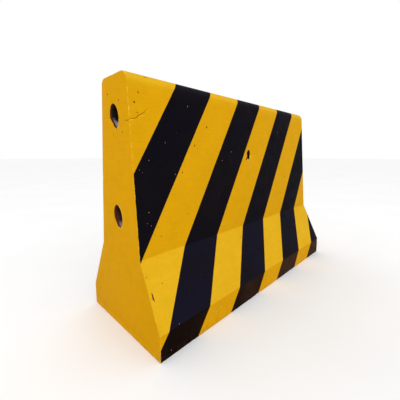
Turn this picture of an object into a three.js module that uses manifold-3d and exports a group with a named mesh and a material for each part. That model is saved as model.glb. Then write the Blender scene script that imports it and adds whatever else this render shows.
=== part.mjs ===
// A precast concrete barrier block that separates traffic lanes: one cast body on a welded
// reinforcement cage, with two oval steel sleeves from end to end for what links the blocks.
// Millimetres. X runs along the block, Y across it and Z up. The origin is the middle of the base.
import * as THREE from "three";
import { mergeVertices } from "three/addons/utils/BufferGeometryUtils.js";
import Module from "manifold-3d";

// The cast body
const LENGTH = 1000;
const HEIGHT = 700;
const BASE_WIDTH = 360;
const PLINTH_HEIGHT = 70; // the upright foot
const CREASE_HEIGHT = 234; // where the lower slope meets the steep upper face
const CREASE_WIDTH = 204;
const TOP_WIDTH = 130; // between the upper faces, carried on to the full height
const TOP_RADII = { front: 30, back: 17 }; // the front of the block is its -Y side
const ARRIS = 3; // rounding of the edges around both end faces

// The sleeves, on the middle plane: tube pressed to an upright oval
const SLEEVE_HEIGHTS = { lower: 330, upper: 595 };
const SLEEVE_WIDTH = 51;
const SLEEVE_TALLNESS = 69;
const SLEEVE_WALL = 3.5;
const SLEEVE_RECESS = 6; // thickness of the concrete lip over each end
const MOUTH_ROUNDING = 2;

// The cage: closed links around long bars, with short bars across to carry the sleeves
const COVER = 30; // concrete outside the links
const LINK_DIAMETER = 6;
const LINK_COUNT = 5;
const LINK_PITCH = 220;
const HOOK_TAIL = 45; // straight end of a link past its hook
const BAR_DIAMETER = 12;
const MIDDLE_BAR_HEIGHT = 462; // the pair between the sleeves
const SADDLE_DIAMETER = 8;
const SADDLE_OVERHANG = 7; // past the middle of the link on each side

// Mortar cover blocks that hold the cage off the bottom of the mould
const BLOCK_FOOT = 40;
const BLOCK_TOP = 28;
const BLOCK_LENGTH = 40;
const BLOCK_SPACING = 180; // between the two under one link
const BLOCK_RECESS = 0.5; // foot above the base

const GAP = 0.3; // between pieces that touch
const CAST_GAP = 0.5; // between the concrete and what is cast into it
const BEYOND = 1; // how far a cut runs past the face it opens in

const TOP_CHORD = THREE.MathUtils.degToRad(11);
const BEND_CHORD = THREE.MathUtils.degToRad(23);
const BAR_SIDES = 10;
const SLEEVE_SIDES = 28;

// A link's bends fit round the long bars.
const BEND_RADIUS = (BAR_DIAMETER + LINK_DIAMETER) / 2 + GAP;
// The two ends of a link pass each other side by side.
const LINK_SHIFT = LINK_DIAMETER + 1;
const BORE = SLEEVE_WIDTH / 2 - SLEEVE_WALL;
const SLEEVE_RISE = (SLEEVE_TALLNESS - SLEEVE_WIDTH) / 2;

const materials = {
  paint: () => new THREE.MeshStandardMaterial({ color: 0xdea60f, roughness: 0.55, metalness: 0 }),
  steel: () => new THREE.MeshStandardMaterial({ color: 0x6b4a38, roughness: 0.8, metalness: 0.6 }),
  mortar: () => new THREE.MeshStandardMaterial({ color: 0x9a968e, roughness: 0.9, metalness: 0 }),
};

const wasm = await Module();
wasm.setup();

// A closed geometry as a manifold-3d solid.
function solid(geometry) {
  const bare = geometry.clone();
  bare.deleteAttribute("normal");
  bare.deleteAttribute("uv");
  const merged = mergeVertices(bare, 1e-4);
  return new wasm.Manifold(
    new wasm.Mesh({
      numProp: 3,
      vertProperties: merged.getAttribute("position").array,
      triVerts: new Uint32Array(merged.index.array),
    }),
  );
}

// A manifold-3d solid as a flat-shaded geometry.
function geometryOf(made) {
  const mesh = made.getMesh();
  const indexed = new THREE.BufferGeometry();
  indexed.setAttribute("position", new THREE.BufferAttribute(mesh.vertProperties, 3));
  indexed.setIndex(new THREE.BufferAttribute(mesh.triVerts, 1));
  const faceted = indexed.toNonIndexed();
  faceted.computeVertexNormals();
  return faceted;
}

// Outlines of the cross-section are Vector2: x across the block, y up, counterclockwise.

function profileCorners() {
  const side = [
    new THREE.Vector2(BASE_WIDTH / 2, 0),
    new THREE.Vector2(BASE_WIDTH / 2, PLINTH_HEIGHT),
    new THREE.Vector2(CREASE_WIDTH / 2, CREASE_HEIGHT),
    new THREE.Vector2(TOP_WIDTH / 2, HEIGHT),
  ];
  const mirrored = side.map((corner) => new THREE.Vector2(-corner.x, corner.y));
  return [...side, ...mirrored.reverse()];
}

// The corners of the outline that lies a distance inside a closed one.
function inset(corners, distance) {
  return corners.map((corner, i) => {
    const before = corners.at(i - 1);
    const after = corners[(i + 1) % corners.length];
    const normals = [corner.clone().sub(before), after.clone().sub(corner)].map((edge) =>
      new THREE.Vector2(-edge.y, edge.x).normalize(),
    );
    const scale = distance / (1 + normals[0].dot(normals[1]));
    return normals[0].clone().add(normals[1]).multiplyScalar(scale).add(corner);
  });
}

// The arc that rounds the corner between two neighbours, as points one chord apart.
function roundCorner(before, corner, after, radius, chord) {
  const back = before.clone().sub(corner).normalize();
  const on = after.clone().sub(corner).normalize();
  const half = Math.acos(back.dot(on)) / 2;
  const start = back.clone().multiplyScalar(radius / Math.tan(half)).add(corner);
  const centre = back.clone().add(on).normalize();
  centre.multiplyScalar(radius / Math.sin(half)).add(corner);
  const turn = (Math.PI - 2 * half) * Math.sign(on.cross(back));
  const chords = Math.ceil(Math.abs(turn) / chord);
  return Array.from({ length: chords + 1 }, (_, i) =>
    start.clone().rotateAround(centre, (turn * i) / chords),
  );
}

// Shapes drawn across the block, turned to stand in the YZ plane with their depth along X.
const ACROSS = new THREE.Matrix4().makeBasis(
  new THREE.Vector3(0, 1, 0),
  new THREE.Vector3(0, 0, 1),
  new THREE.Vector3(1, 0, 0),
);

function castBody() {
  const corners = profileCorners();
  const outline = corners.flatMap((corner, i) => {
    if (corner.y < HEIGHT) return [corner];
    const radius = corner.x < 0 ? TOP_RADII.front : TOP_RADII.back;
    return roundCorner(corners[i - 1], corner, corners[i + 1], radius, TOP_CHORD);
  });
  const depth = LENGTH - 2 * ARRIS;
  const body = new THREE.ExtrudeGeometry(new THREE.Shape(outline), {
    depth,
    bevelThickness: ARRIS,
    bevelSize: ARRIS,
    bevelOffset: -ARRIS,
    bevelSegments: 2,
  });
  return body.translate(0, 0, -depth / 2).applyMatrix4(ACROSS);
}

// Oval shapes lie along X: each point of their profile is (half width, place along X). Their
// section reaches farther up and down than to the sides, by the same length at every point.
function oval(profile) {
  const points = profile.map(([halfWidth, x]) => new THREE.Vector2(halfWidth, x));
  const shape = new THREE.LatheGeometry(points, SLEEVE_SIDES).rotateZ(-Math.PI / 2);
  const places = shape.getAttribute("position");
  for (let i = 0; i < places.count; i += 1) {
    const halfWidth = Math.hypot(places.getY(i), places.getZ(i));
    if (halfWidth > GAP) places.setZ(i, places.getZ(i) * (1 + SLEEVE_RISE / halfWidth));
  }
  shape.computeVertexNormals();
  return shape;
}

function sleeve() {
  const outer = SLEEVE_WIDTH / 2;
  const end = LENGTH / 2 - SLEEVE_RECESS;
  return oval([
    [BORE, -end],
    [outer, -end],
    [outer, end],
    [BORE, end],
    [BORE, -end],
  ]);
}

// The room for a sleeve, with the mouths that open in the end faces.
function sleeveChannel() {
  const outer = SLEEVE_WIDTH / 2 + CAST_GAP;
  const face = LENGTH / 2;
  const seat = face - SLEEVE_RECESS + CAST_GAP;
  const half = [
    [outer, seat],
    [BORE, seat],
    [BORE, face - MOUTH_ROUNDING],
    [BORE + MOUTH_ROUNDING, face],
    [BORE + MOUTH_ROUNDING, face + BEYOND],
    [0, face + BEYOND],
  ];
  const other = half.map(([halfWidth, x]) => [halfWidth, -x]);
  return oval([...other.reverse(), ...half]);
}

// A straight round bar, along the given axis, with its middle at a point.
function straightBar(diameter, length, axis, middle, grow) {
  const radius = diameter / 2 + grow;
  const bar = new THREE.CylinderGeometry(radius, radius, length + 2 * grow, BAR_SIDES);
  if (axis === "x") bar.rotateZ(Math.PI / 2);
  return bar.translate(middle.x, middle.y, middle.z);
}

// The centre line of a bent bar, with one step of the sweep on each of its points.
class BentLine extends THREE.Curve {
  constructor(points) {
    super();
    this.points = points;
  }

  indexAt(u) {
    return Math.round(u * (this.points.length - 1));
  }

  getPointAt(u) {
    return this.points[this.indexAt(u)].clone();
  }

  getTangentAt(u) {
    const i = this.indexAt(u);
    const tangent = new THREE.Vector3();
    [i, i + 1]
      .filter((k) => k > 0 && k < this.points.length)
      .forEach((k) => tangent.add(this.points[k].clone().sub(this.points[k - 1]).normalize()));
    return tangent.normalize();
  }
}

function bentBar(diameter, points, grow) {
  const section = new THREE.Shape().absarc(0, 0, diameter / 2 + grow, 0, 2 * Math.PI);
  const outline = new THREE.Shape(section.getSpacedPoints(BAR_SIDES).slice(0, -1));
  return new THREE.ExtrudeGeometry(outline, {
    steps: points.length - 1,
    extrudePath: new BentLine(points),
  });
}

const linkCorners = inset(profileCorners(), COVER + LINK_DIAMETER / 2);
const barPlaces = inset(linkCorners, BEND_RADIUS);

// One link: up one side from its hook, over the top, down the other side and back along the
// bottom to a second hook round the same long bar. side is the side its hooks are on, 1 or -1.
function link(x, side, grow) {
  const [bottom, plinth, crease, top] = linkCorners;
  const [bar] = barPlaces;
  const reach = BEND_RADIUS / Math.tan(Math.PI / 8);
  const tail = new THREE.Vector2(-1, 1).normalize().multiplyScalar(reach + HOOK_TAIL + grow);
  const upright = new THREE.Vector2(bottom.x, bar.y - reach);
  const flat = new THREE.Vector2(bar.x + reach, bottom.y);
  const mirrored = [top, crease, plinth, bottom].map((p) => new THREE.Vector2(-p.x, p.y));
  const route = [
    upright.clone().add(tail),
    upright,
    plinth,
    crease,
    top,
    ...mirrored,
    flat,
    flat.clone().add(tail),
  ];
  const line = route.flatMap((corner, i) =>
    i === 0 || i === route.length - 1
      ? [corner]
      : roundCorner(route[i - 1], corner, route[i + 1], BEND_RADIUS, BEND_CHORD),
  );
  const crossing = line.findIndex((p) => p.x < 0);
  const points = line.map((p, i) => {
    const shift = i < crossing ? -LINK_SHIFT / 2 : LINK_SHIFT / 2;
    return new THREE.Vector3(x + shift, side * p.x, p.y);
  });
  return bentBar(LINK_DIAMETER, points, grow);
}

function linkPlace(i) {
  return (i - (LINK_COUNT - 1) / 2) * LINK_PITCH;
}

// Half the distance between a link's two uprights at a height on the steep upper faces.
function linkHalfWidth(z) {
  const [, , crease, top] = linkCorners;
  return THREE.MathUtils.mapLinear(z, crease.y, top.y, crease.x, top.x);
}

function coverBlock(x, y) {
  const level = COVER + LINK_DIAMETER / 2;
  const seat = LINK_DIAMETER / 2 + GAP;
  const height = level - LINK_DIAMETER / 4;
  const slant = Math.asin((height - level) / seat);
  const outline = new THREE.Shape()
    .moveTo(-BLOCK_FOOT / 2, BLOCK_RECESS)
    .lineTo(BLOCK_FOOT / 2, BLOCK_RECESS)
    .lineTo(BLOCK_TOP / 2, height)
    .absarc(0, level, seat, slant, Math.PI - slant, true)
    .lineTo(-BLOCK_TOP / 2, height);
  return blockOf(outline, BLOCK_LENGTH, x, y, 6);
}

// The room for a cover block, open at the base.
function coverPocket(x, y) {
  const foot = BLOCK_FOOT / 2 + CAST_GAP;
  const top = BLOCK_TOP / 2 + CAST_GAP;
  const height = COVER + LINK_DIAMETER / 4 + CAST_GAP;
  const outline = new THREE.Shape()
    .moveTo(-foot, -BEYOND)
    .lineTo(foot, -BEYOND)
    .lineTo(top, height)
    .lineTo(-top, height);
  return blockOf(outline, BLOCK_LENGTH + 2 * CAST_GAP, x, y, 1);
}

// An outline in the XZ plane, extruded across the block.
function blockOf(outline, length, x, y, curveSegments) {
  const block = new THREE.ExtrudeGeometry(outline, {
    depth: length,
    bevelEnabled: false,
    curveSegments,
  });
  return block.translate(0, 0, -length / 2).rotateX(Math.PI / 2).translate(x, y, 0);
}

// Everything that is cast in: its name, its material, its own shape and the room that it takes.
const castIn = [];

function addCastIn(name, material, shape, room) {
  castIn.push({ name, material, shape, room });
}

for (const [name, height] of Object.entries(SLEEVE_HEIGHTS)) {
  const shape = sleeve().translate(0, 0, height);
  const room = sleeveChannel().translate(0, 0, height);
  addCastIn(`${name}_sleeve`, materials.steel, shape, room);

  const z = height - (SLEEVE_TALLNESS + SADDLE_DIAMETER) / 2 - GAP;
  const length = 2 * (linkHalfWidth(z) + SADDLE_OVERHANG);
  const beside = (LINK_SHIFT + LINK_DIAMETER + SADDLE_DIAMETER) / 2 + GAP;
  [1, -1].forEach((end) => {
    const middle = new THREE.Vector3(end * (LINK_PITCH - beside), 0, z);
    const [bar, hole] = [0, CAST_GAP].map((grow) =>
      straightBar(SADDLE_DIAMETER, length, "y", middle, grow),
    );
    addCastIn(`${name}_saddle_${end > 0 ? "far" : "near"}`, materials.steel, bar, hole);
  });
}

// The long bars: one in each bend of the links, and a pair half way up.
const [bottomPlace, , creasePlace, topPlace] = barPlaces;
const lean = Math.atan2((CREASE_WIDTH - TOP_WIDTH) / 2, HEIGHT - CREASE_HEIGHT);
const barRows = {
  bottom: bottomPlace,
  crease: creasePlace,
  middle: new THREE.Vector2(
    linkHalfWidth(MIDDLE_BAR_HEIGHT) - BEND_RADIUS / Math.cos(lean),
    MIDDLE_BAR_HEIGHT,
  ),
  top: topPlace,
};
const barLength = LENGTH - 2 * COVER;
for (const [row, place] of Object.entries(barRows)) {
  [-1, 1].forEach((side) => {
    const middle = new THREE.Vector3(0, side * place.x, place.y);
    const [bar, hole] = [0, CAST_GAP].map((grow) =>
      straightBar(BAR_DIAMETER, barLength, "x", middle, grow),
    );
    addCastIn(`long_bar_${row}_${side < 0 ? "front" : "back"}`, materials.steel, bar, hole);
  });
}

// The links take turns to have their hooks at the front and at the back.
for (let i = 0; i < LINK_COUNT; i += 1) {
  const side = i % 2 ? -1 : 1;
  const [bar, hole] = [0, CAST_GAP].map((grow) => link(linkPlace(i), side, grow));
  addCastIn(`link_${i + 1}`, materials.steel, bar, hole);
}

[0, LINK_COUNT - 1].forEach((i) => {
  [-1, 1].forEach((side) => {
    const x = linkPlace(i) + LINK_SHIFT / 2;
    const y = (side * BLOCK_SPACING) / 2;
    const name = `cover_block_${i ? "far" : "near"}_${side < 0 ? "front" : "back"}`;
    addCastIn(name, materials.mortar, coverBlock(x, y), coverPocket(x, y));
  });
});

const barrier = new THREE.Group();
const concrete = castIn.reduce((body, { room }) => body.subtract(solid(room)), solid(castBody()));
const body = new THREE.Mesh(geometryOf(concrete), materials.paint());
body.name = "concrete_body";
barrier.add(body);
for (const { name, material, shape } of castIn) {
  const piece = new THREE.Mesh(shape, material());
  piece.name = name;
  barrier.add(piece);
}

export default barrier;
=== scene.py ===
import math
import random

import bpy
import numpy as np
from mathutils import Euler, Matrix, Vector, noise
from mathutils.geometry import delaunay_2d_cdt


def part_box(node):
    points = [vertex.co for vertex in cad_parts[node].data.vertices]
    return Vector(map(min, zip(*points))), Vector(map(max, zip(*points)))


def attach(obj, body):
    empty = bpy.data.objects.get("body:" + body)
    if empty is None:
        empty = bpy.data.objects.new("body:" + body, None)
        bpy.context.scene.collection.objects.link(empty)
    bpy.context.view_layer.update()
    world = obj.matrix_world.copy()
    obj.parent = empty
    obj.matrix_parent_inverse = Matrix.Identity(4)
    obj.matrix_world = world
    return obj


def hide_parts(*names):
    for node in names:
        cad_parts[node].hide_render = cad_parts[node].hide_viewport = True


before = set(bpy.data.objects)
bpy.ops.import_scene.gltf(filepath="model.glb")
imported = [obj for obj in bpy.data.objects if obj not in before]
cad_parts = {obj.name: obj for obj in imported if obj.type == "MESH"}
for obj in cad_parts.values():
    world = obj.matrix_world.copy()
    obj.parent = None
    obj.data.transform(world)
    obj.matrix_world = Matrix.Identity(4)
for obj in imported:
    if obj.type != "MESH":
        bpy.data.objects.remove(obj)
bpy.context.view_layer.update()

LOW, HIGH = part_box("concrete_body")
LENGTH = HIGH.x - LOW.x
HEIGHT = HIGH.z
END = HIGH.x
SLEEVES = ("lower", "upper")

MM = 0.001

# The cross-section: half widths, heights and the rounding of each corner
HALF_BASE = HIGH.y
HALF_CREASE = 102 * MM
HALF_TOP = 65 * MM
PLINTH_HEIGHT = 70 * MM
CREASE_HEIGHT = 234 * MM
BASE_ROUNDING = 1.7 * MM
PLINTH_ROUNDING = 3 * MM
CREASE_ROUNDING = 6 * MM
FRONT_RADIUS = 30 * MM
BACK_RADIUS = 17 * MM
ARRIS = 3 * MM
BASE_ARRIS = 1 * MM  # rounding of the end's edges down at the base

# The pipe holes: upright ovals that lean a little
WALL = 3.5 * MM
CAST_GAP = 0.5 * MM
LIP = 5.5 * MM
MOUTH_ROUNDING = 1.5 * MM
MOUTH_STRETCH = (0.3 * MM, 2.2 * MM)  # how much taller each mouth is than its sleeve
MOUTH_PINCH = 1.2 * MM  # how much narrower
MOUTH_TAPER = (0.20, 0.42)  # how much narrower still in the lower half, towards the back
HOLE_SIDES = 64
HOLE_LEAN = math.radians(17)  # the top of the oval towards the back
SEAM = math.radians(250)  # where round a sleeve its weld runs
FILED = 0.6 * MM  # chamfer of a sleeve's ends

# The spacing of the surface's points
FINE = 1.4 * MM
COARSE = 6.5 * MM
GROWTH = 1.3
ARC_STEP = 1.6 * MM
ARRIS_STEPS = 5

# The stripes: how far from the near end the second black one starts, and how wide a stripe
# is, at four heights. They slant a little more on the slope and the plinth.
STRIPE_HEIGHTS = (0.0, PLINTH_HEIGHT, CREASE_HEIGHT, 730 * MM)
STRIPE_STARTS = (-24 * MM, 28.6 * MM, 152 * MM, 476.4 * MM)
STRIPE_WIDTHS = (150.5 * MM, 148.5 * MM, 145.6 * MM, 146.7 * MM)
FOOT_DRIFT = (0, 2, -2, 11, -6, 8, -11)  # how far each edge strays at the foot, in mm
PLINTH_DRIFT = (0, 1, -4, 7, -2, 4, -2)  # and on the plinth's top edge
BATTER = math.atan2(HALF_CREASE - HALF_TOP, HEIGHT - CREASE_HEIGHT)  # of the upper faces

MOULD_LINE = HEIGHT - 45 * MM
SKYLIGHT_FROM = (0.05, -0.45, 0.89)  # the direction of the light from above whose brightness and tint are painted into the colour

PAINT, BARE, STAINED, SHADOWED = 0, 1, 2, 3  # material slots of the body


# Node materials

class Graph:
    """A material's node tree, built from calls that return sockets."""

    def __init__(self, name):
        self.material = bpy.data.materials.new(name)
        self.material.use_nodes = True
        self.tree = self.material.node_tree
        self.tree.nodes.clear()
        self.output = self.tree.nodes.new("ShaderNodeOutputMaterial")
        self.place = self.node("ShaderNodeTexCoord").outputs["Object"]

    def node(self, kind, inputs=(), **settings):
        made = self.tree.nodes.new(kind)
        for key, value in settings.items():
            setattr(made, key, value)
        for key, value in dict(inputs).items():
            self.feed(made.inputs[key], value)
        return made

    def feed(self, socket, value):
        if isinstance(value, bpy.types.NodeSocket):
            self.tree.links.new(value, socket)
        else:
            socket.default_value = value

    def math(self, operation, a, b=0.0, c=0.0):
        return self.node("ShaderNodeMath", {0: a, 1: b, 2: c}, operation=operation).outputs[0]

    def step(self, value, start, end, low=0.0, high=1.0):
        """A smooth step from low to high as value goes from start to end."""
        inputs = {"Value": value, "From Min": start, "From Max": end, "To Min": low, "To Max": high}
        kind = "ShaderNodeMapRange"
        return self.node(kind, inputs, interpolation_type="SMOOTHSTEP").outputs["Result"]

    def stretched(self, scale):
        return self.node("ShaderNodeMapping", {"Vector": self.place, "Scale": scale}).outputs[0]

    def noise(self, scale, detail=3.0, roughness=0.5, place=None):
        inputs = {"Vector": place or self.place, "Scale": scale, "Detail": detail}
        inputs["Roughness"] = roughness
        return self.node("ShaderNodeTexNoise", inputs).outputs["Fac"]

    def cells(self, scale, output="Distance", randomness=1.0):
        inputs = {"Vector": self.place, "Scale": scale, "Randomness": randomness}
        return self.node("ShaderNodeTexVoronoi", inputs).outputs[output]

    def attribute(self, name):
        return self.node("ShaderNodeAttribute", attribute_name=name).outputs["Fac"]

    def mix(self, share, a, b, blend="MIX"):
        made = self.node("ShaderNodeMix", data_type="RGBA", blend_type=blend)
        for socket, value in ((made.inputs[0], share), (made.inputs[6], a), (made.inputs[7], b)):
            self.feed(socket, value)
        return made.outputs[2]

    def shade(self, colour, factor):
        """The colour times a factor that varies round 1."""
        grey = self.node("ShaderNodeCombineColor", {0: factor, 1: factor, 2: factor}).outputs[0]
        return self.mix(1.0, colour, grey, "MULTIPLY")

    def bump(self, height, depth, strength=1.0, below=None):
        inputs = {"Height": height, "Distance": depth, "Strength": strength}
        if below is not None:
            inputs["Normal"] = below
        return self.node("ShaderNodeBump", inputs).outputs["Normal"]

    def finish(self, colour, roughness, normal, metallic=0.0, specular=0.5):
        inputs = {"Base Color": colour, "Roughness": roughness, "Normal": normal}
        inputs["Metallic"] = metallic
        inputs["Specular IOR Level"] = specular
        shader = self.node("ShaderNodeBsdfPrincipled", inputs)
        self.tree.links.new(shader.outputs[0], self.output.inputs["Surface"])
        return self.material


def rgb(red, green, blue):
    return (red, green, blue, 1.0)


def speckle(graph, scale, share):
    """1 on a scatter of small spots, 0 elsewhere."""
    return graph.step(graph.noise(scale, 1.0), 1 - share, 1 - share + 0.03)


def stripe_mask(graph):
    """1 on the black stripes and 0 on the yellow, ends included, with edges cut in by hand."""
    axes = graph.node("ShaderNodeSeparateXYZ", {0: graph.place}).outputs
    wander = graph.math("MULTIPLY_ADD", graph.noise(14.0, 2.0), 2 * MM, -1 * MM)
    ragged = graph.math("MULTIPLY_ADD", graph.noise(170.0, 2.0), 1.2 * MM, -0.6 * MM)
    inside_by = graph.math("ADD", graph.attribute("black"), graph.math("ADD", wander, ragged))
    black = graph.step(inside_by, -0.3 * MM, 0.3 * MM)
    from_end = graph.math("SUBTRACT", END, graph.math("ABSOLUTE", axes["X"]))
    brushed_over = graph.math("MULTIPLY_ADD", graph.noise(60.0, 3.0), 1.8 * MM, 0.5 * MM)
    inside = graph.math("GREATER_THAN", from_end, brushed_over)
    return graph.math("MULTIPLY", black, inside)


def painted_concrete():
    graph = Graph("painted_concrete")
    axes = graph.node("ShaderNodeSeparateXYZ", {0: graph.place}).outputs
    along, height = axes["X"], axes["Z"]
    black = stripe_mask(graph)
    wear_and_highlight = graph.attribute("wear_and_highlight")
    grime = graph.attribute("grime")
    painted_skylight = graph.step(graph.attribute("painted_skylight"), 0.42, 0.80)

    broad = graph.step(graph.noise(5.0, 4.0), 0.3, 0.7, 0.97, 1.02)
    blotches = graph.step(graph.noise(32.0, 4.0, 0.6), 0.3, 0.7, 0.975, 1.02)
    brushing = graph.noise(1.0, 3.0, place=graph.stretched((14.0, 14.0, 240.0)))
    strokes = graph.step(brushing, 0.35, 0.65, 0.985, 1.015)
    grain = graph.step(graph.noise(420.0, 2.0), 0.3, 0.7, 0.96, 1.04)
    tone = graph.math("MULTIPLY", broad, blotches)
    tone = graph.math("MULTIPLY", tone, graph.math("MULTIPLY", strokes, grain))

    # Painted skylight: the yellow is lighter and greener where faces turn to the light from above.
    skylit_yellow = graph.mix(painted_skylight, rgb(0.628, 0.303, 0.0008), rgb(0.715, 0.405, 0.0115))
    patchy = graph.step(graph.noise(9.0, 3.0), 0.35, 0.65, 0.0, 0.12)
    yellow = graph.mix(patchy, skylit_yellow, rgb(0.57, 0.27, 0.001))
    rust_spots = graph.math("MULTIPLY", speckle(graph, 85.0, 0.23), 0.5)
    yellow = graph.mix(rust_spots, yellow, rgb(0.36, 0.12, 0.01))
    pale = graph.math("MULTIPLY", speckle(graph, 130.0, 0.22), 0.3)
    yellow = graph.mix(pale, yellow, rgb(0.85, 0.58, 0.06))
    # Painted shade: the faces turned away from the light are darker low down, and a painted highlight
    # gives a lighter line along the foot.
    low_shade_and_foot_highlight = graph.step(height, 160 * MM, 400 * MM, 0.07, 0.0)
    low_shade_and_foot_highlight = graph.math("SUBTRACT", low_shade_and_foot_highlight, graph.step(height, 6 * MM, 24 * MM, 0.09, 0.0))
    shaded = graph.step(graph.attribute("painted_skylight"), 0.15, 0.35, 1.0, 0.0)
    painted_light_factor = graph.math("SUBTRACT", 1.0, graph.math("MULTIPLY", low_shade_and_foot_highlight, shaded))
    # Painted light: the plinth's sides that face the light are a little lighter.
    plinth = graph.step(height, 66 * MM, 72 * MM, 0.06, 0.0)
    plinth = graph.math("MULTIPLY", plinth, graph.math("SUBTRACT", 1.0, shaded))
    painted_light_factor = graph.math("ADD", painted_light_factor, plinth)
    yellow = graph.shade(yellow, graph.math("MULTIPLY", tone, painted_light_factor))

    # The black is bluish where it faces the light from above, a painted sky reflection, and brown with
    # splashes on the plinth.
    ink = graph.mix(painted_skylight, rgb(0.0036, 0.0030, 0.0047), rgb(0.0074, 0.0064, 0.0142))
    brown = graph.step(graph.noise(7.0, 3.0), 0.4, 0.7, 0.0, 0.6)
    ink = graph.mix(brown, ink, rgb(0.0075, 0.0050, 0.0055))
    splashed = graph.step(height, 66 * MM, 72 * MM, 1.0, 0.0)
    splashed = graph.math("MULTIPLY", splashed, graph.step(graph.noise(18.0, 4.0), 0.25, 0.7, 0.7, 1.0))
    muddier = graph.step(graph.math("ADD", along, graph.noise(6.0, 2.0)), 0.05, 0.75)
    mud = graph.mix(muddier, rgb(0.0068, 0.0022, 0.0008), rgb(0.040, 0.0165, 0.0080))
    ink = graph.mix(splashed, ink, mud)
    dust = graph.math("MULTIPLY", speckle(graph, 150.0, 0.22), 0.25)
    ink = graph.mix(dust, ink, rgb(0.16, 0.13, 0.13))

    colour = graph.mix(black, yellow, ink)

    # Thin paint along the yellow edges shows a paler line, broken by bare concrete. The pale line is
    # partly real wear and partly a painted highlight: along the end's edges, on the mouths' front rims
    # and beside the blow hole.
    on_yellow = graph.math("SUBTRACT", 1.0, black)
    thin = graph.step(graph.math("MULTIPLY", wear_and_highlight, graph.noise(150.0, 3.0)), 0.30, 0.50, 0.0, 0.55)
    colour = graph.mix(graph.math("MULTIPLY", thin, on_yellow), colour, rgb(0.88, 0.58, 0.09))
    rubbed = graph.math("MULTIPLY", wear_and_highlight, graph.noise(150.0, 4.0, 0.7))
    bared = graph.step(rubbed, 0.62, 0.68)
    colour = graph.mix(bared, colour, rgb(0.30, 0.20, 0.13))
    dirt = graph.math("MULTIPLY", grime, graph.step(graph.noise(40.0, 5.0, 0.65), 0.4, 0.75))
    colour = graph.mix(graph.math("MULTIPLY", dirt, 0.4), colour, rgb(0.10, 0.050, 0.020))
    mouth = graph.attribute("mouth")
    uneven = graph.step(graph.noise(90.0, 3.0), 0.3, 0.7, -0.2, 0.2)
    stained = graph.math("ADD", mouth, uneven)
    rusted = graph.mix(graph.step(height, 0.44, 0.46), rgb(0.12, 0.028, 0.006), rgb(0.085, 0.026, 0.010))
    colour = graph.mix(graph.step(stained, 0.35, 0.75), colour, rusted)

    roughness = graph.step(graph.noise(24.0, 3.0), 0.3, 0.7, 0.46, 0.62)
    roughness = graph.math("MAXIMUM", roughness, graph.math("MULTIPLY", bared, 0.9))
    normal = graph.bump(graph.noise(260.0, 3.0, 0.6), 0.5 * MM, 0.3)
    normal = graph.bump(graph.noise(60.0, 3.0), 1.2 * MM, 0.18, normal)
    normal = graph.bump(brushing, 0.4 * MM, 0.25, normal)
    normal = graph.bump(black, 0.35 * MM, 0.5, normal)
    return graph.finish(colour, roughness, normal, specular=0.012)


def bare_concrete(name, dark, light, specular):
    """Broken and unpainted concrete: mortar between two colours, with sand and small stones."""
    graph = Graph(name)
    mortar = graph.mix(graph.noise(60.0, 4.0), dark, light)
    stones = graph.step(graph.cells(140.0), 0.25, 0.32, 1.0, 0.0)
    tint = graph.cells(140.0, "Color")
    colour = graph.mix(graph.math("MULTIPLY", stones, 0.5), mortar, graph.mix(0.93, tint, mortar))
    sand = graph.noise(900.0, 2.0)
    colour = graph.shade(colour, graph.step(sand, 0.3, 0.7, 0.75, 1.15))
    normal = graph.bump(graph.noise(300.0, 4.0, 0.7), 1 * MM, 0.8)
    normal = graph.bump(stones, 0.6 * MM, 0.5, normal)
    return graph.finish(colour, 0.92, normal, specular=specular)


def rusty_steel(name, scale_share=0.5, rusts=(rgb(0.022, 0.006, 0.003), rgb(0.10, 0.030, 0.010))):
    """Mill scale and rust between two colours, with a layer of cement and dust where the
    attribute film_light_and_shade says, partly painted light on a bore's floor near its mouth.
    It is darker where that attribute is well below 0, and away from the ends: painted shade
    at the top of a bore and deeper in."""
    graph = Graph(name)
    film_light_and_shade = graph.attribute("film_light_and_shade")
    patches = graph.noise(45.0, 6.0, 0.65)
    rust = graph.mix(graph.noise(160.0, 4.0, 0.7), *rusts)
    scale = graph.mix(graph.noise(25.0, 3.0), rgb(0.012, 0.009, 0.009), rgb(0.030, 0.020, 0.018))
    scaled = graph.step(patches, scale_share - 0.06, scale_share + 0.06)
    colour = graph.mix(scaled, rust, scale)
    axes = graph.node("ShaderNodeSeparateXYZ", {0: graph.place}).outputs
    from_end = graph.math("SUBTRACT", END, graph.math("ABSOLUTE", axes["X"]))
    # Painted shade: darker towards the top of a bore.
    colour = graph.shade(colour, graph.step(film_light_and_shade, -1.2, -0.1, 0.22, 1.0))
    # Painted shade: darker deeper in from the ends.
    colour = graph.shade(colour, graph.step(from_end, 7 * MM, 18 * MM, 1.0, 0.55))
    cement = graph.mix(graph.noise(120.0, 4.0), rgb(0.60, 0.50, 0.56), rgb(0.78, 0.69, 0.74))
    cloudy = graph.step(graph.noise(55.0, 4.0, 0.6), 0.3, 0.7, -0.2, 0.2)
    covered = graph.step(graph.math("ADD", film_light_and_shade, cloudy), 0.0, 0.75)
    colour = graph.mix(covered, colour, cement)
    colour = graph.shade(colour, graph.step(graph.noise(500.0, 2.0), 0.3, 0.7, 0.85, 1.12))
    roughness = graph.step(patches, 0.35, 0.6, 0.88, 0.6)
    metallic = graph.step(patches, scale_share - 0.06, scale_share + 0.06, 0.15, 0.55)
    metallic = graph.math("MULTIPLY", metallic, graph.math("SUBTRACT", 1.0, covered))
    normal = graph.bump(graph.noise(350.0, 4.0, 0.7), 0.6 * MM, 0.7)
    normal = graph.bump(scaled, 0.3 * MM, 0.5, normal)
    return graph.finish(colour, roughness, normal, metallic, specular=0.35)


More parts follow.
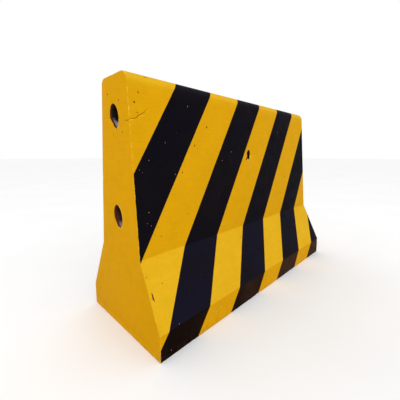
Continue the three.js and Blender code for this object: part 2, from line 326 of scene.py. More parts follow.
def mortar():
    graph = Graph("cover_block_mortar")
    colour = graph.mix(graph.noise(35.0, 5.0, 0.6), rgb(0.27, 0.255, 0.235), rgb(0.46, 0.445, 0.41))
    pores = graph.step(graph.cells(320.0), 0.08, 0.16, 0.45, 1.0)
    colour = graph.shade(colour, pores)
    normal = graph.bump(graph.noise(240.0, 4.0, 0.7), 0.8 * MM, 0.6)
    normal = graph.bump(pores, 0.4 * MM, 0.7, normal)
    return graph.finish(colour, 0.9, normal, specular=0.2)


def studio_floor():
    graph = Graph("studio_floor")
    colour = graph.shade(rgb(0.94, 0.94, 0.94), graph.step(graph.noise(2.0), 0.3, 0.7, 0.99, 1.01))
    return graph.finish(colour, 0.9, graph.bump(graph.noise(300.0), 0.1 * MM, 0.05), specular=0.1)


# The surface of the cast body

def graded(length):
    """Places from 0 to length, close together at both ends."""
    half, at, step = [], 0.0, FINE
    while at < length / 2:
        half.append(at)
        at += step
        step = min(step * GROWTH, COARSE)
    half = np.array(half + [at]) * (length / 2 / at)
    return np.concatenate([half, length - half[-2::-1]])


def outward(a, b):
    """The outward normal of an edge of a counterclockwise outline."""
    edge = (b - a) / np.linalg.norm(b - a)
    return np.array([edge[1], -edge[0]])


def rounded(before, corner, after, radius):
    """Points and outward normals of the arc that rounds a corner."""
    first, last = outward(before, corner), outward(corner, after)
    turn = math.atan2(first[0] * last[1] - first[1] * last[0], first @ last)
    side = math.copysign(1.0, turn)
    centre = corner - side * (first + last) * radius / (1 + first @ last)
    count = max(2, math.ceil(abs(turn) * radius / ARC_STEP))
    angles = math.atan2(first[1], first[0]) + turn * np.linspace(0, 1, count + 1)
    normals = np.stack([np.cos(angles), np.sin(angles)], axis=1)
    return centre + side * radius * normals, normals


def outline():
    """The block's cross-section: points and outward normals, counterclockwise, as (y, z)."""
    side = [
        (HALF_BASE, 0.0, BASE_ROUNDING),
        (HALF_BASE, PLINTH_HEIGHT, PLINTH_ROUNDING),
        (HALF_CREASE, CREASE_HEIGHT, CREASE_ROUNDING),
    ]
    top = [(HALF_TOP, HEIGHT, BACK_RADIUS), (-HALF_TOP, HEIGHT, FRONT_RADIUS)]
    corners = side + top + [(-y, z, radius) for y, z, radius in reversed(side)]
    spots = [np.array(corner[:2]) for corner in corners]
    arcs = []
    for i, corner in enumerate(corners):
        arcs.append(rounded(spots[i - 1], spots[i], spots[(i + 1) % len(spots)], corner[2]))
    points, normals = [], []
    for (arc, facing), (following, _) in zip(arcs, arcs[1:] + arcs[:1]):
        start, end = arc[-1], following[0]
        length = np.linalg.norm(end - start)
        shares = graded(length)[1:-1, None] / length
        points += [arc, start + shares * (end - start)]
        normals += [facing, np.repeat(facing[-1:], len(shares), axis=0)]
    return np.concatenate(points), np.concatenate(normals)


OUTLINE, OUTLINE_NORMALS = outline()


def half_width(z):
    """Half the block's width at a height."""
    right = OUTLINE[OUTLINE[:, 0] > 0]
    right = right[np.argsort(right[:, 1])]
    return np.interp(z, right[:, 1], right[:, 0])


def hole_places():
    """The (y, z) of each sleeve's axis, and the half width and half height of its bore."""
    centres = []
    for name in SLEEVES:
        low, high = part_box(f"{name}_sleeve")
        centres.append(np.array([(low.y + high.y) / 2, (low.z + high.z) / 2]))
        half = ((high.y - low.y) / 2 - WALL, (high.z - low.z) / 2 - WALL)
    return centres, half


HOLES, (BORE, BORE_TALL) = hole_places()
RISE = BORE_TALL - BORE
MOUTHS = list(zip(HOLES, MOUTH_STRETCH, MOUTH_TAPER))


def narrowed(level, taper):
    """The share of its width that an oval keeps on its lower back quarter. level is -1 at the
    bottom of the oval and 1 at its top."""
    share = np.clip((0.2 - level) / 0.8, 0, 1)
    return 1 - taper * share * share * (3 - 2 * share)


def oval(half_width, stretch=0.0, pinch=0.0, taper=0.0):
    """Points of a leaning oval round the origin that is taller than wide, as (y, z)."""
    angles = np.linspace(0, 2 * math.pi, HOLE_SIDES, endpoint=False)
    y = (half_width - pinch) * np.cos(angles)
    y = np.where(y > 0, y * narrowed(np.sin(angles), taper), y)
    z = (half_width + RISE + stretch) * np.sin(angles)
    lean = np.array([[math.cos(HOLE_LEAN), math.sin(HOLE_LEAN)],
                     [-math.sin(HOLE_LEAN), math.cos(HOLE_LEAN)]])
    return np.stack([y, z], axis=1) @ lean.T


def from_mouth(places, hole, stretch, taper):
    """About how far points (y, z) lie outside the mouth of a hole."""
    lean = np.array([[math.cos(HOLE_LEAN), -math.sin(HOLE_LEAN)],
                     [math.sin(HOLE_LEAN), math.cos(HOLE_LEAN)]])
    y, z = ((places - hole) @ lean.T).T
    level = z / (BORE_TALL + stretch)
    reach = (BORE - MOUTH_PINCH) * np.where(y > 0, narrowed(level, taper), 1.0)
    share = np.sqrt((y / reach) ** 2 + level**2)
    return (1 - 1 / np.maximum(share, 1e-6)) * np.hypot(y, z)


def end_face(ring, mouths):
    """Triangles that fill an end face between its rim and its mouths, and the points inside."""
    rows = np.arange(COARSE, HEIGHT, COARSE * 0.87)
    inner = []
    for k, z in enumerate(rows):
        reach = half_width(z) - ARRIS - 0.6 * COARSE
        columns = np.arange(-HALF_BASE, HALF_BASE, COARSE) + (k % 2) * COARSE / 2
        inner += [(y, z) for y in columns if abs(y) < reach and z < HEIGHT - 2 * ARRIS]
    inner = np.array(inner)
    for mouth in MOUTHS:
        inner = inner[from_mouth(inner, *mouth) > MOUTH_ROUNDING + 0.5 * COARSE]
    places = np.concatenate([ring, *mouths, inner])
    edges, loop_of, start = [], {}, 0
    for k, loop in enumerate([ring, *mouths]):
        count = len(loop)
        edges += [(start + i, start + (i + 1) % count) for i in range(count)]
        loop_of.update({start + i: k for i in range(count)})
        start += count
    flat = [Vector(place) for place in places]
    _, _, triangles, sources, _, _ = delaunay_2d_cdt(flat, edges, [], 1, 1e-7)
    kept = []
    for triangle in triangles:
        corners = [sources[i][0] for i in triangle]
        loops = {loop_of.get(corner) for corner in corners}
        in_mouth = len(loops) == 1 and loops not in ({None}, {0})
        if not in_mouth:
            kept.append(corners)
    return inner, kept


def channel_stations():
    """(x, half width, 1 in a mouth) along a pipe hole, from end to end: a rounded mouth, the
    lip, the room of the sleeve, and back out."""
    turns = np.linspace(0, math.pi / 2, 5)
    mouth = [
        (END - MOUTH_ROUNDING * (1 - math.cos(t)), BORE + MOUTH_ROUNDING * (1 - math.sin(t)), 1)
        for t in turns
    ]
    room = BORE + WALL + CAST_GAP
    half = mouth + [(END - LIP, BORE, 1), (END - LIP, room, 0)]
    return [(-x, width, share) for x, width, share in half] + [(0.0, room, 0)] + half[::-1]


def arris_radii():
    """The rounding of the end's edges at each point of the outline: sharper at the base."""
    levels = (0.0, 0.5 * PLINTH_HEIGHT, CREASE_HEIGHT)
    return np.interp(OUTLINE[:, 1], levels, (BASE_ARRIS, 0.6 * ARRIS, ARRIS))


def body_surface():
    """Vertices, outward normals and faces of the smooth body. Channels have zero normals."""
    count = len(OUTLINE)
    turns = np.linspace(math.pi / 2, 0, ARRIS_STEPS + 1)
    arris = [(1 - math.sin(t), 1 - math.cos(t), math.sin(t)) for t in turns]
    middle = (graded(LENGTH - 2 * ARRIS)[1:-1] - LENGTH / 2 + ARRIS) / END
    stations = [(-1, share, inset, -lean) for share, inset, lean in arris]
    stations += [(x, 0, 0.0, 0.0) for x in middle]
    stations += [(1, share, inset, lean) for share, inset, lean in reversed(arris)]
    radii = arris_radii()
    vertices, normals, faces = [], [], []
    for x, share, inset, lean in stations:
        section = OUTLINE - OUTLINE_NORMALS * (inset * radii[:, None])
        along = x * END - math.copysign(1.0, x) * share * radii
        vertices.append(np.column_stack([along, section]))
        upright = math.sqrt(1 - lean * lean)
        normals.append(np.column_stack([np.full(count, lean), OUTLINE_NORMALS * upright]))
    for s in range(len(stations) - 1):
        near, far = s * count, (s + 1) * count
        faces += [
            (near + i, near + (i + 1) % count, far + (i + 1) % count, far + i)
            for i in range(count)
        ]
    first_ring, last_ring = 0, (len(stations) - 1) * count

    start = len(stations) * count
    channel = channel_stations()
    channel_starts = []
    for hole, stretch, taper in MOUTHS:
        channel_starts.append(start)
        for x, half_across, share in channel:
            ring = hole + oval(half_across, share * stretch, share * MOUTH_PINCH, share * taper)
            vertices.append(np.column_stack([np.full(HOLE_SIDES, x), ring]))
            normals.append(np.zeros((HOLE_SIDES, 3)))
        for s in range(len(channel) - 1):
            near, far = start + s * HOLE_SIDES, start + (s + 1) * HOLE_SIDES
            faces += [
                (near + i, far + i, far + (i + 1) % HOLE_SIDES, near + (i + 1) % HOLE_SIDES)
                for i in range(HOLE_SIDES)
            ]
        start += len(channel) * HOLE_SIDES

    ring = OUTLINE - OUTLINE_NORMALS * radii[:, None]
    mouths = [
        hole + oval(BORE + MOUTH_ROUNDING, stretch, MOUTH_PINCH, taper)
        for hole, stretch, taper in MOUTHS
    ]
    inner, triangles = end_face(ring, mouths)
    for x, ring_start, last in ((-END, first_ring, False), (END, last_ring, True)):
        vertices.append(np.column_stack([np.full(len(inner), x), inner]))
        normals.append(np.tile([math.copysign(1.0, x), 0.0, 0.0], (len(inner), 1)))
        index = list(range(ring_start, ring_start + count))
        for channel_start in channel_starts:
            mouth = channel_start + (len(channel) - 1) * HOLE_SIDES * last
            index += range(mouth, mouth + HOLE_SIDES)
        index += range(start, start + len(inner))
        start += len(inner)
        for a, b, c in triangles:
            face = (index[a], index[b], index[c])
            faces.append(face if last else face[::-1])
    return np.concatenate(vertices), np.concatenate(normals), faces


def waves(place, size, seed):
    """Smooth noise from -1 to 1 with features of about the given size."""
    return noise.noise(Vector(place) / size + Vector((seed * 7.3, seed * 3.1, seed * 5.7)))


def weathered(vertices, normals):
    """The surface as cast: slightly wavy, with a mould line and blunted, uneven edges."""
    moved = vertices.copy()
    for i, (place, normal) in enumerate(zip(vertices, normals)):
        if not normal.any():
            continue
        depth = 0.40 + 0.20 * waves(place, 0.21, 1) + 0.11 * waves(place, 0.065, 2)
        depth += 0.06 * waves(place, 0.024, 3)
        z = place[2]
        if abs(normal[0]) < 0.2 and z > CREASE_HEIGHT:
            line = MOULD_LINE + 1.5 * MM * waves(place, 0.09, 4)
            ridge = math.exp(-(((z - line) / (1.9 * MM)) ** 2))
            depth -= 0.5 * ridge * (0.75 + 0.25 * waves(place, 0.03, 5))
        on_arris = 1 - abs(2 * abs(normal[0]) - 1) if 0.02 < abs(normal[0]) < 0.98 else 0.0
        depth += on_arris * max(0.0, 0.1 + 0.9 * waves(place, 0.016, 6))
        low = max(0.0, 1 - z / (12 * MM))
        depth += low * max(0.0, 0.9 * waves(place, 0.020, 7))
        moved[i] = place - normal * max(depth, 0.0) * MM
    return moved


# Chips, blow holes, scratches and the crack, as closed cutters

ICOSPHERES = {}


def icosphere(level):
    """Vertices and faces of a unit icosphere."""
    if level not in ICOSPHERES:
        bpy.ops.mesh.primitive_ico_sphere_add(subdivisions=level, radius=1.0)
        ball = bpy.context.object
        vertices = np.array([v.co for v in ball.data.vertices])
        faces = [tuple(p.vertices) for p in ball.data.polygons]
        bpy.data.objects.remove(ball)
        ICOSPHERES[level] = (vertices, faces)
    return ICOSPHERES[level]


def lump(centre, radii, seed, turn=(0.0, 0.0, 0.0), rough=0.25, level=3):
    """An uneven ellipsoid that cuts a chip or a blow hole. Sizes are in millimetres."""
    ball, faces = icosphere(level)
    spin = np.array(Euler([math.radians(angle) for angle in turn]).to_matrix())
    vertices = []
    for unit in ball:
        swell = 1 + rough * noise.noise(Vector(unit) * 1.7 + Vector((seed * 3.7, seed, 0)))
        swell += rough * 0.5 * noise.noise(Vector(unit) * 4.5 + Vector((0, seed * 2.3, seed)))
        vertices.append(spin @ (unit * np.array(radii) * swell))
    return np.array(centre) * MM + np.array(vertices) * MM, faces


def groove(points, facing, width, depth, seed):
    """A wedge along a jagged line on the surface, as the cutter of a crack or a scratch.
    Millimetres."""
    facing = np.array(facing, float)
    facing /= np.linalg.norm(facing)
    path = []
    for a, b in zip(points, points[1:]):
        a, b = np.array(a, float), np.array(b, float)
        for share in np.linspace(0, 1, 6, endpoint=False):
            place = a + share * (b - a)
            jag = np.array([0.5 * waves(place, 3.1, seed + shift) for shift in (0.0, 0.4, 0.8)])
            path.append(place + 1.1 * (jag - facing * (jag @ facing)))
    path.append(np.array(points[-1], float))
    vertices, faces = [], []
    for i, place in enumerate(path):
        ahead = path[min(i + 1, len(path) - 1)] - path[max(i - 1, 0)]
        across = np.cross(ahead, facing)
        across /= np.linalg.norm(across)
        fade = 0.6 + 0.4 * math.sin(math.pi * (i + 0.5) / len(path))
        top, reach = place + 2 * facing, width * fade * (1 + 2 / depth)
        vertices += [top + across * reach / 2, top - across * reach / 2, place - facing * depth * fade]
    for i in range(len(path) - 1):
        a, b = 3 * i, 3 * i + 3
        for j in range(3):
            k = (j + 1) % 3
            faces.append((a + k, a + j, b + j, b + k))
    faces += [(0, 1, 2), (len(vertices) - 1, len(vertices) - 2, len(vertices) - 3)]
    return np.array(vertices) * MM, faces


def on_side(x, z, side=-1, out=0.0):
    """A point on a long side, in millimetres, standing out of the surface by a distance."""
    return (x, side * (float(half_width(z * MM)) / MM + out), z)


NEAR = -END / MM
BASE = HALF_BASE / MM


def chips():
    """Broken spots that show bare concrete."""
    return [
        # flaked paint under the blow hole half way along the front
        lump(on_side(5, 475, out=0.3), (3.5, 1.4, 5), 3, (0, -20, 0), 0.5),
        lump(on_side(11, 455, out=0.3), (2.5, 1.2, 4), 4, (0, 10, 0), 0.5),
        # the pale spot in the knock on the slope beside the near edge
        lump(on_side(NEAR + 7.5, 149, out=0.2), (2.4, 1.6, 3.6), 5, (-25, -4, 0), 0.3),
        # the broken corner at the foot, and knocks along the bottom edge of the end
        lump((NEAR + 0.5, -BASE + 0.5, 15), (2.6, 3.2, 4.5), 7, (0, 0, 20), 0.4),
        lump((NEAR + 0.3, -BASE + 10, -0.3), (3, 4.5, 2.4), 8, (0, 0, 0), 0.45),
        lump((NEAR - 0.5, -152, -1), (3, 6, 3.2), 9, (0, 0, 0), 0.4),
        lump((NEAR - 0.5, 118, -1), (3.5, 8, 4), 10, (0, 0, 0), 0.4),
        lump((NEAR - 0.5, BASE - 0.5, 30), (2.6, 1.8, 12), 11, (0, 0, 0), 0.45),
        # the top, the far end and the back
        lump((-440, -59, 692), (8, 3, 2.4), 12, (0, 0, 4), 0.45),
        lump((-NEAR + 1, -62, 640), (6, 5, 12), 13, (0, 0, 0), 0.4),
        lump((-NEAR, -BASE + 1, 62), (6, 5, 7), 14, (0, 0, 0), 0.4),
        lump((-NEAR + 1, 150, 0), (8, 15, 7), 15, (0, 0, 0), 0.4),
        lump((-260, BASE + 1, 1), (14, 6, 6), 18, (0, 0, 0), 0.45),
        lump((-71, -BASE, -1), (13, 5, 4.5), 22, (0, 0, 0), 0.35),
        lump(on_side(330, 70, 1, 0.0), (10, 4, 4), 19, (0, 0, 0), 0.45),
        lump(on_side(-170, 395, 1, 0.5), (5, 4, 9), 20, (0, 20, 0), 0.4),
        lump(on_side(NEAR + 3, 430, 1, 0.0), (5, 5, 12), 21, (0, 0, 0), 0.4),
    ]


def on_end(y, z):
    """A point on the near end, in millimetres."""
    return (NEAR + 0.3, y, z)


def pinholes(places, seed):
    """Small pits, one for each (point on the surface, radius)."""
    return [
        lump(point, (radius, radius, 1.4 * radius), seed + i, level=2)
        for i, (point, radius) in enumerate(places)
    ]


def dark_pits():
    """Open pinholes with a brown inside, a flake under the blow hole and the knock's stain."""
    front = [(-483, 623, 2.2), (-470, 648, 1.8), (-476, 599, 1.4), (-228, 581, 2.3),
             (-286, 523, 2.2), (-341, 446, 1.9), (-429, 280, 1.5), (-449, 287, 1.2),
             (-438, 306, 1.2), (-494, 195, 1.3), (-454, 169, 1.2)]
    end = [(34, 655, 2.2), (-25, 632, 1.8), (-39, 553, 1.7), (-34, 568, 1.1), (29, 594, 1.2),
           (58, 595, 1.2), (26, 362, 1.4), (10, 549, 1.3), (-8, 561, 1.2)]
    places = [(on_side(x, z), radius) for x, z, radius in front]
    places += [(on_end(y, z), radius) for y, z, radius in end]
    flake = lump(on_side(-15, 481, out=0.2), (4, 1.6, 6), 2, (0, 30, 0), 0.5)
    knock = lump(on_side(NEAR + 10, 150.5, out=0.2), (1.9, 1.8, 12), 6, (-25, -4, 0), 0.3)
    return [flake, knock] + pinholes(places, 30)


def blow_hole():
    """The large one half way along the front."""
    return lump(on_side(-1, 496, out=0.3), (10.5, 17, 18.5), 1, (0, 8, 0), 0.3)


def scratches():
    """Two thin pale scratches down the plinth's second yellow stripe."""
    first = groove([on_side(-308, 58), on_side(-328, 26)], (0, -1, 0), 1.3, 0.9, 3)
    second = groove([on_side(-269, 52), on_side(-297, 38)], (0, -1, 0), 1.1, 0.9, 4)
    return [first, second]


def pale_pits():
    """Pinholes where pale concrete shows through the black."""
    places = [(-452, 482, 1.4), (-474, 452.5, 1.1), (-482, 459, 1.1), (-463, 350, 1.3),
              (-458, 315, 1.2), (-470, 323, 1.0), (234, 594, 1.8), (-305, 636, 1.4),
              (-396, 529, 1.4), (-107, 506, 1.6), (-159, 477, 1.4), (-367, 443, 1.4),
              (-466, 17, 1.3), (-438, 73, 1.3)]
    return pinholes([(on_side(x, z), 0.85 * radius) for x, z, radius in places], 60)


def blow_holes(count):
    """Air bubbles left against the mould and painted over, scattered over all the faces."""
    chance = random.Random(41)
    taken, holes = [], []
    while len(holes) < count:
        z = chance.uniform(14, 640)
        if chance.random() < 0.75:
            side = chance.choice((-1, 1))
            centre = np.array(on_side(chance.uniform(NEAR + 14, -NEAR - 14), z, side))
        else:
            reach = float(half_width(z * MM)) / MM - 12
            centre = np.array((chance.choice((NEAR, -NEAR)), chance.uniform(-reach, reach), z))
        radius = chance.choice((0.8, 0.9, 1.0, 1.2, 1.5, 1.9))
        apart = min((np.linalg.norm(centre - other) for other in taken), default=99)
        place = centre[None, 1:] * MM
        in_mouth = any(from_mouth(place, *mouth)[0] < 8 * MM for mouth in MOUTHS)
        if apart < 9 or in_mouth:
            continue
        taken.append(centre)
        seed = 100 + len(holes)
        holes.append(lump(centre, (radius, radius, radius * 1.2), seed, rough=0.2, level=2))
    return holes


def crack():
    """A hairline crack from the near end round the edge on to the front."""
    front = [on_side(NEAR - 2, 581), on_side(-493, 583), on_side(-481, 585), on_side(-476, 591),
             on_side(-465, 596), on_side(-457, 601), on_side(-446, 611)]
    end = [(NEAR, -77, 581), (NEAR, -64, 579), (NEAR, -52, 581)]
    return groove(front, (0, -1, 0.08), 2.0, 2.0, 1), groove(end, (-1, 0, 0), 1.7, 1.8, 2)


def mesh_object(name, vertices, faces, materials, slot=0, smooth=False):
    mesh = bpy.data.meshes.new(name)
    mesh.from_pydata([tuple(v) for v in vertices], [], faces)
    mesh.update()
    for material in materials:
        mesh.materials.append(material)
    mesh.polygons.foreach_set("material_index", [slot] * len(mesh.polygons))
    mesh.polygons.foreach_set("use_smooth", [smooth] * len(mesh.polygons))
    made = bpy.data.objects.new(name, mesh)
    bpy.context.scene.collection.objects.link(made)
    return made


def joined(pieces):
    """Several closed surfaces as one list of vertices and one of faces."""
    vertices, faces, start = [], [], 0
    for points, polygons in pieces:
        vertices.append(points)
        faces += [tuple(start + i for i in polygon) for polygon in polygons]
        start += len(points)
    return np.concatenate(vertices), faces


def cut(target, pieces, slot):
    """Takes closed cutters out of the target. What they bare gets the given material slot."""
    cutter = mesh_object("cutter", *joined(pieces), target.data.materials, slot)
    with_cut = target.modifiers.new("cut", "BOOLEAN")
    with_cut.operation = "DIFFERENCE"
    with_cut.solver = "MANIFOLD"
    with_cut.object = cutter
    apply_modifiers(target)
    bpy.data.objects.remove(cutter)


def apply_modifiers(target):
    graph = bpy.context.evaluated_depsgraph_get()
    made = bpy.data.meshes.new_from_object(target.evaluated_get(graph))
    target.modifiers.clear()
    target.data = made


def set_attribute(mesh, name, values):
    layer = mesh.attributes.new(name, "FLOAT", "POINT")
    layer.data.foreach_set("value", np.asarray(values, np.float32))


def vertices_of(mesh):
    places = np.zeros(len(mesh.vertices) * 3, np.float32)
    mesh.vertices.foreach_get("co", places)
    return places.reshape(-1, 3).astype(float)


def side_distance(places):
    """How far points of the end faces lie inside the cross-section's outline."""
    nearest = np.full(len(places), 1.0)
    for start in range(0, len(OUTLINE), 40):
        part = OUTLINE[start:start + 40]
        gaps = np.linalg.norm(places[:, None, 1:] - part[None], axis=2)
        nearest = np.minimum(nearest, gaps.min(axis=1))
    return nearest


def unrolled(places):
    """The height of points, with the rounding of the top edges rolled out flat."""
    y, z = np.abs(places[:, 1]), places[:, 2]
    radius = np.where(places[:, 1] < 0, FRONT_RADIUS, BACK_RADIUS)
    centre_z = HEIGHT - radius
    centre_y = HALF_TOP + radius * (math.tan(BATTER) - 1 / math.cos(BATTER))
    angle = np.clip(np.arctan2(z - centre_z, y - centre_y), BATTER, math.pi / 2)
    start = centre_z + radius * math.sin(BATTER)
    return np.where(z > start, start + radius * (angle - BATTER), z)


def into_black(places):
    """How far points lie inside the nearest black stripe, or below 0 outside it."""
    height = unrolled(places)
    start = np.interp(height, STRIPE_HEIGHTS, STRIPE_STARTS)
    width = np.interp(height, STRIPE_HEIGHTS, STRIPE_WIDTHS)
    stripe = (places[:, 0] + END - start) / width
    edges = np.arange(len(FOOT_DRIFT))
    at_foot = np.interp(stripe, edges, FOOT_DRIFT)
    at_plinth = np.interp(stripe, edges, PLINTH_DRIFT)
    share = np.clip(height / PLINTH_HEIGHT, 0, 1)
    fade = np.interp(height, (PLINTH_HEIGHT, CREASE_HEIGHT), (1, 0))
    stripe = stripe - fade * MM * (at_foot * (1 - share) + at_plinth * share) / width
    from_middle = np.abs((stripe - 0.5 + 1) % 2 - 1)
    inside_by = (0.5 - from_middle) * width
    return np.where(stripe > -2.5, inside_by, -width / 2)


def mark_paint(mesh):
    """The attributes that the paint reads. wear_and_highlight is 1 along the edges that get knocked
    and where highlights are painted, on the front rims of the mouths and beside the blow hole,
    grime is 1 where splashes and dust collect, mouth is 1 in the mouths of the holes,
    painted_skylight is 1 where faces turn to the light from above, whose light is painted into
    the colour, and black says where the stripes are."""
    places = vertices_of(mesh)
    set_attribute(mesh, "black", into_black(places))
    facing = np.zeros(len(mesh.vertices) * 3, np.float32)
    mesh.vertices.foreach_get("normal", facing)
    # How much each face turns to the light from above, painted into the colour as skylight; more on the
    # front's rounded top.
    painted_skylight = np.clip(facing.reshape(-1, 3) @ np.array(SKYLIGHT_FROM), 0, 1)
    above_line = (places[:, 2] - MOULD_LINE) / (HEIGHT - MOULD_LINE)
    on_front = (places[:, 1] < 0) & (painted_skylight > 0.4)
    painted_skylight = np.where(on_front & (above_line > 0), np.maximum(painted_skylight, 0.50 + 0.25 * above_line), painted_skylight)
    set_attribute(mesh, "painted_skylight", painted_skylight)
    from_end = END - np.abs(places[:, 0])
    from_side = side_distance(places)
    ends = np.exp(-((from_end**2 + from_side**2) / (3.2 * MM) ** 2))
    y, z = np.abs(places[:, 1]), places[:, 2]
    foot = 0.5 * np.exp(-(((y - HALF_BASE) ** 2 + z**2) / (4 * MM) ** 2))
    shelf = 0.5 * np.exp(-(((y - HALF_BASE) ** 2 + (z - PLINTH_HEIGHT) ** 2) / (3.5 * MM) ** 2))
    wear_and_highlight = np.maximum(np.maximum(ends * np.interp(z, (0, 0.2, 0.3), (0.8, 0.85, 1.0)), foot), shelf)
    grime = 0.6 * np.exp(-z / (26 * MM))
    mouth = np.zeros(len(places))
    for hole, stretch, taper in MOUTHS:
        off = from_mouth(places[:, 1:], hole, stretch, taper)
        below = np.clip((hole[1] - places[:, 2]) / BORE, 0, 1)
        rim = np.exp(-((off / (7 * MM)) ** 2)) * np.exp(-((from_end / (8 * MM)) ** 2))
        grime = np.maximum(grime, rim * (0.15 + 0.5 * below))
        back = places[:, 1] > hole[0]
        # Painted highlight: a pale line along the front rim of each mouth, fainter at the back.
        painted_rim_highlight = np.exp(-(((off - 1.5 * MM) / (2.4 * MM)) ** 2)) * (from_end < 4 * MM)
        wear_and_highlight = np.maximum(wear_and_highlight, np.where(back, 0.3, 0.95) * painted_rim_highlight)
        reach = np.where(back, 0.9 * MM, 0.3 * MM)
        mouth = np.maximum(mouth, np.clip(0.5 + (reach - off) / (1.2 * MM), 0, 1))
    # Painted highlight: a pale spot on the paint beside the blow hole.
    rubbed = np.hypot(places[:, 0] - 12 * MM, places[:, 2] - 489 * MM)
    beside_blow_hole = (places[:, 1] < 0) & (rubbed < 12 * MM)
    wear_and_highlight = np.where(beside_blow_hole, np.maximum(wear_and_highlight, 1.0 - (rubbed / (12 * MM)) ** 2), wear_and_highlight)
    set_attribute(mesh, "wear_and_highlight", wear_and_highlight)
    set_attribute(mesh, "grime", grime)
    set_attribute(mesh, "mouth", mouth)


def shade_flat_cuts(mesh):
    """Smooth cast faces, crisp broken ones. The underside is bare too."""
    for polygon in mesh.polygons:
        underside = polygon.normal.z < -0.9 and polygon.center.z < 3 * MM
        if underside:
            polygon.material_index = BARE
        polygon.use_smooth = polygon.material_index == PAINT or underside


def concrete(materials):
    vertices, normals, faces = body_surface()
    body = mesh_object("barrier_concrete", weathered(vertices, normals), faces, materials)
    crack_front, crack_end = crack()
    cut(body, blow_holes(80), PAINT)
    cut(body, chips() + pale_pits() + scratches(), BARE)
    # Painted shade: the big blow hole's inside is near black concrete.
    cut(body, [blow_hole()], SHADOWED)
    cut(body, dark_pits() + [crack_front], STAINED)
    cut(body, [crack_end], STAINED)
    shade_flat_cuts(body.data)
    mark_paint(body.data)
    body.data.set_sharp_from_angle(angle=math.radians(40))
    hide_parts("concrete_body")
    return body


# The sleeves

def scab(place, seed):
    """How far rust and scale stand in from a tube's inside at a place."""
    lumps = max(0.0, waves(place, 0.011, seed)) + 0.5 * max(0.0, waves(place, 0.005, seed + 1))
    return 0.30 * MM * lumps


def sleeve(name, material, seed, settled):
    """A welded tube pressed oval: a scaled inside with the bead of its seam, and filed ends.
    settled says where its layer of cement and dust lies: (how much of it below, how much to the front,
    its level, how much it thins out in the first 20 mm). The pale layer is partly painted light near
    the mouth; values well below 0 give painted shade at the top."""
    low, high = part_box(f"{name}_sleeve")
    axis = np.array([(low.y + high.y) / 2, (low.z + high.z) / 2])
    near = graded(0.1)
    inside = np.concatenate([low.x + near[:-1], np.arange(low.x + 0.1, high.x - 0.1, 0.012)])
    inside = np.concatenate([inside, high.x - near[::-1]])
    loop = [(x, BORE, True) for x in inside]
    loop[0] = (low.x, BORE + FILED, False)
    loop[-1] = (high.x, BORE + FILED, False)
    outside = BORE + WALL
    loop += [(high.x, outside - FILED, False)]
    loop += [(x, outside, False) for x in np.linspace(high.x - FILED, low.x + FILED, 24)]
    loop += [(low.x, outside - FILED, False)]
    vertices, film_light_and_shade = [], []
    for x, half_across, scaled in loop:
        ring = oval(half_across)
        for k, (y, z) in enumerate(ring):
            angle = 2 * math.pi * k / HOLE_SIDES
            inward = 0.0
            if scaled:
                bead = ((angle - SEAM + math.pi) % (2 * math.pi) - math.pi) * BORE
                inward = scab((x, y, z), seed) + 0.8 * MM * math.exp(-((bead / (1.6 * MM)) ** 2))
            shrunk = 1 - inward / math.hypot(y, z)
            vertices.append((x, axis[0] + y * shrunk, axis[1] + z * shrunk))
            depth = settled[0] * -z / BORE_TALL + settled[1] * -y / BORE + settled[2]
            depth -= settled[3] * min((END - abs(x)) / (20 * MM), 1.0)
            film_light_and_shade.append(depth if half_across < outside - WALL / 2 else -1.0)
    rings = len(loop)
    faces = [
        (s * HOLE_SIDES + k, s * HOLE_SIDES + (k + 1) % HOLE_SIDES,
         (s + 1) % rings * HOLE_SIDES + (k + 1) % HOLE_SIDES, (s + 1) % rings * HOLE_SIDES + k)
        for s in range(rings)
        for k in range(HOLE_SIDES)
    ]
    tube = mesh_object(f"sleeve_{name}_tube", vertices, faces, [material], smooth=True)
    set_attribute(tube.data, "film_light_and_shade", film_light_and_shade)
    tube.data.set_sharp_from_angle(angle=math.radians(35))
    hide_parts(f"{name}_sleeve")
    return tube


# The cage and its cover blocks keep their shapes.

def dress_cage():
    bar_steel = rusty_steel("cage_steel", 0.62)
    block = mortar()
    for node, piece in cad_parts.items():
        if node.startswith(("long_bar", "link", "lower_saddle", "upper_saddle")):
            piece.data.materials.clear()
            piece.data.materials.append(bar_steel)
        elif node.startswith("cover_block"):
            piece.data.materials.clear()
            piece.data.materials.append(block)


# The studio

def floor():
    reach = 30.0
    corners = [(-reach, -reach, 0), (reach, -reach, 0), (reach, reach, 0), (-reach, reach, 0)]
    mesh_object("floor", corners, [(0, 1, 2, 3)], [studio_floor()])


def aim(thing, place, target):
    thing.location = place
    thing.rotation_euler = (Vector(target) - Vector(place)).to_track_quat("-Z", "Y").to_euler()
    bpy.context.scene.collection.objects.link(thing)


def soft_light(name, place, size, power, colour=(1.0, 1.0, 1.0)):
    light = bpy.data.lights.new(name, "AREA")
    light.size = size
    light.energy = power
    light.color = colour
    aim(bpy.data.objects.new(name, light), place, (0.0, 0.0, 0.3))


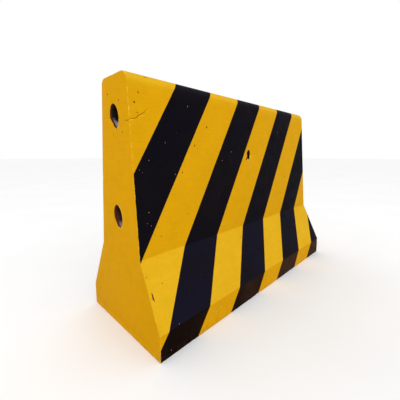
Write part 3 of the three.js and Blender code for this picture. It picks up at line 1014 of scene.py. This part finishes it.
def studio():
    world = bpy.data.worlds.new("studio")
    world.use_nodes = True
    sky = world.node_tree.nodes["Background"]
    sky.inputs["Color"].default_value = rgb(1.0, 1.0, 1.0)
    sky.inputs["Strength"].default_value = 1.0
    bpy.context.scene.world = world
    soft_light("key", (-3.0, -2.6, 3.2), 4.0, 55.0, (0.92, 0.96, 1.0))
    bpy.context.scene.view_settings.view_transform = "Standard"


def camera():
    """The view from low beside the near end, along the front, with a wide lens."""
    lens = bpy.data.cameras.new("camera")
    lens.sensor_width = 36.0
    lens.lens = 22.525
    lens.shift_x = 0.0122
    lens.shift_y = -0.0317
    lens.clip_start = 0.01
    viewer = bpy.data.objects.new("camera", lens)
    yaw, pitch = math.radians(44.689), math.radians(-7.537)
    viewer.location = (-0.8190, -0.62015, 0.49787)
    viewer.rotation_euler = (math.pi / 2 + pitch, 0.0, -yaw)
    bpy.context.scene.collection.objects.link(viewer)
    bpy.context.scene.camera = viewer


camera()
studio()
floor()
broken = bare_concrete("bare_concrete", rgb(0.28, 0.16, 0.095), rgb(0.52, 0.37, 0.26), 0.1)
stained = bare_concrete("stained_concrete", rgb(0.11, 0.020, 0.005), rgb(0.22, 0.048, 0.010), 0.03)
# Near black concrete for the big blow hole's inside: painted shade.
dark = bare_concrete("shadowed_concrete", rgb(0.020, 0.005, 0.007), rgb(0.052, 0.012, 0.013), 0.02)
body_piece = concrete([painted_concrete(), broken, stained, dark])
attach(body_piece, "root")
red_rust = rusty_steel("red_sleeve_steel", 0.66, (rgb(0.07, 0.020, 0.015), rgb(0.24, 0.075, 0.050)))
dark_rust = rusty_steel("dark_sleeve_steel", 0.45, (rgb(0.010, 0.004, 0.003), rgb(0.040, 0.014, 0.007)))
for sleeve_name, steel, seed, settled in (
    ("lower", red_rust, 8, (1.1, 0.1, -0.25, 0.45)),
    ("upper", dark_rust, 11, (1.3, 0.1, 0.12, 0.0)),
):
    tube_piece = sleeve(sleeve_name, steel, seed, settled)
    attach(tube_piece, "root")
dress_cage()
